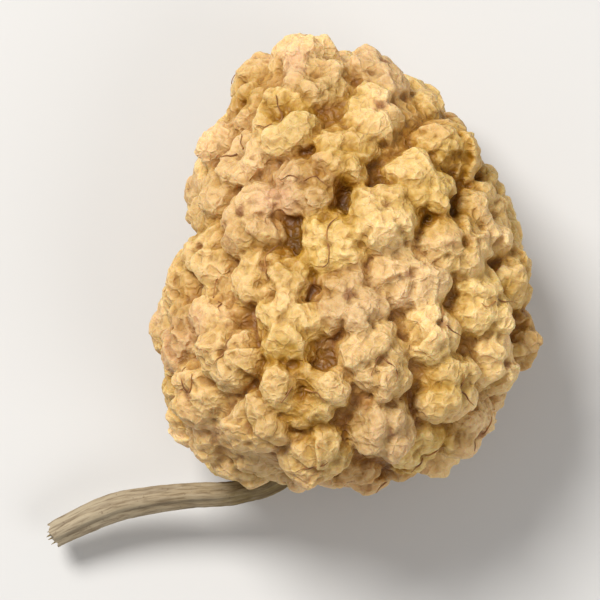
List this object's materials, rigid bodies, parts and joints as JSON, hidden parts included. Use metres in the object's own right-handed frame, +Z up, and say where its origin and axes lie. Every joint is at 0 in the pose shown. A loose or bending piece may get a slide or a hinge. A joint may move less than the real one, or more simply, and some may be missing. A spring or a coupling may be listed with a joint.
{
  "type": "dried white mulberry",
  "caption": "Egg-shaped dried white mulberry covered with small wrinkled drupelets, lying on its side, with a thin curved stalk at its broad end.",
  "frame": {"origin": "On the surface that the fruit lies on, under the middle of the box round the fruit and its stalk.", "axes": "+Y points along the fruit from its stalk end to its tip, +Z points up from the surface, and -X is the side that the stalk turns to."},
  "size_m": [0.0154, 0.017, 0.0096],
  "materials": {
    "dried_flesh": "golden tan dried fruit flesh, wrinkled and slightly waxy, darker brown in the folds, paler on the ridges",
    "dry_stalk": "pale grey brown dry stalk, ribbed along its length, matt"
  },
  "bodies": {
    "root": {"berry": "dried_flesh", "stalk": "dry_stalk"}
  },
  "joints": []
}
